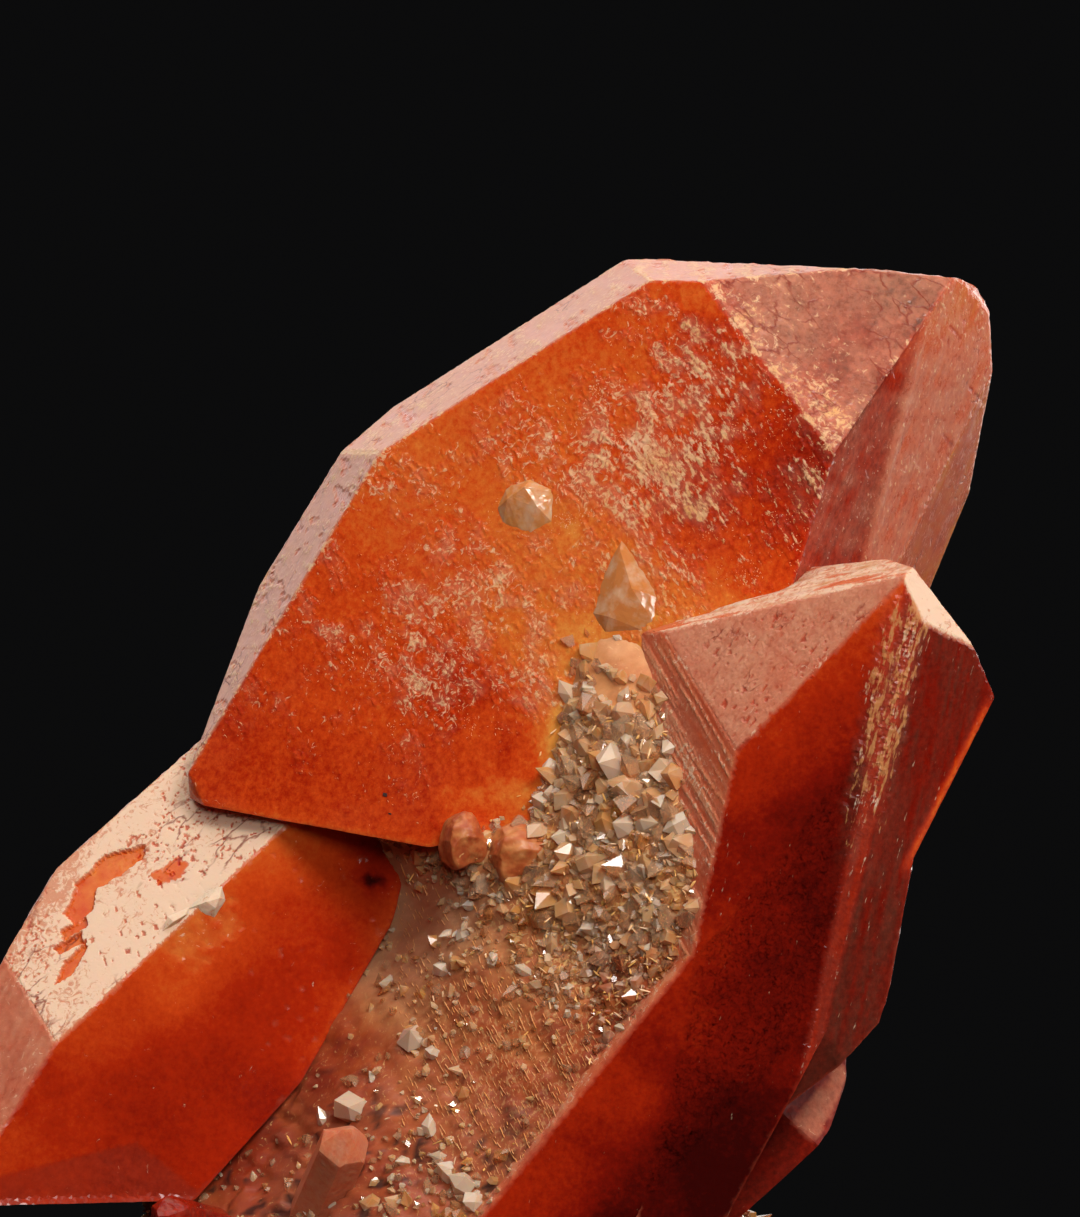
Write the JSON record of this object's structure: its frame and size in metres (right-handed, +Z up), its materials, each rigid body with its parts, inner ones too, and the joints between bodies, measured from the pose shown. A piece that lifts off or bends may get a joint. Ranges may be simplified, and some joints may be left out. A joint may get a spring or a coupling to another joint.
{
  "type": "hematoid quartz specimen",
  "caption": "Rusty red quartz crystals with pale etched bevels, grown together and pointing up right and down left from a piece of drusy vein rock that stands on a flat sawn face.",
  "frame": {"origin": "on the flat sawn underside of the rock, straight below the middle of the front view", "axes": "+Z up, the surface it stands on to the tips; -Y the show side, facing the viewer; +X to the viewer's right, the side the main crystal leans to"},
  "size_m": [0.0797, 0.0531, 0.084],
  "materials": {
    "matrix": "matte",
    "crystal_pair": "gloss",
    "left_crystal": "gloss",
    "lower_right_crystal": "satin",
    "lower_front_crystal": "gloss",
    "bottom_left_crystal": "gloss",
    "milky_knob": "satin",
    "orange_knob": "satin"
  },
  "bodies": {
    "root": {"matrix": "matrix", "crystal_pair": "crystal_pair", "left_crystal": "left_crystal", "lower_right_crystal": "lower_right_crystal", "lower_front_crystal": "lower_front_crystal", "bottom_left_crystal": "bottom_left_crystal", "milky_knob": "milky_knob", "orange_knob": "orange_knob"}
  },
  "joints": []
}
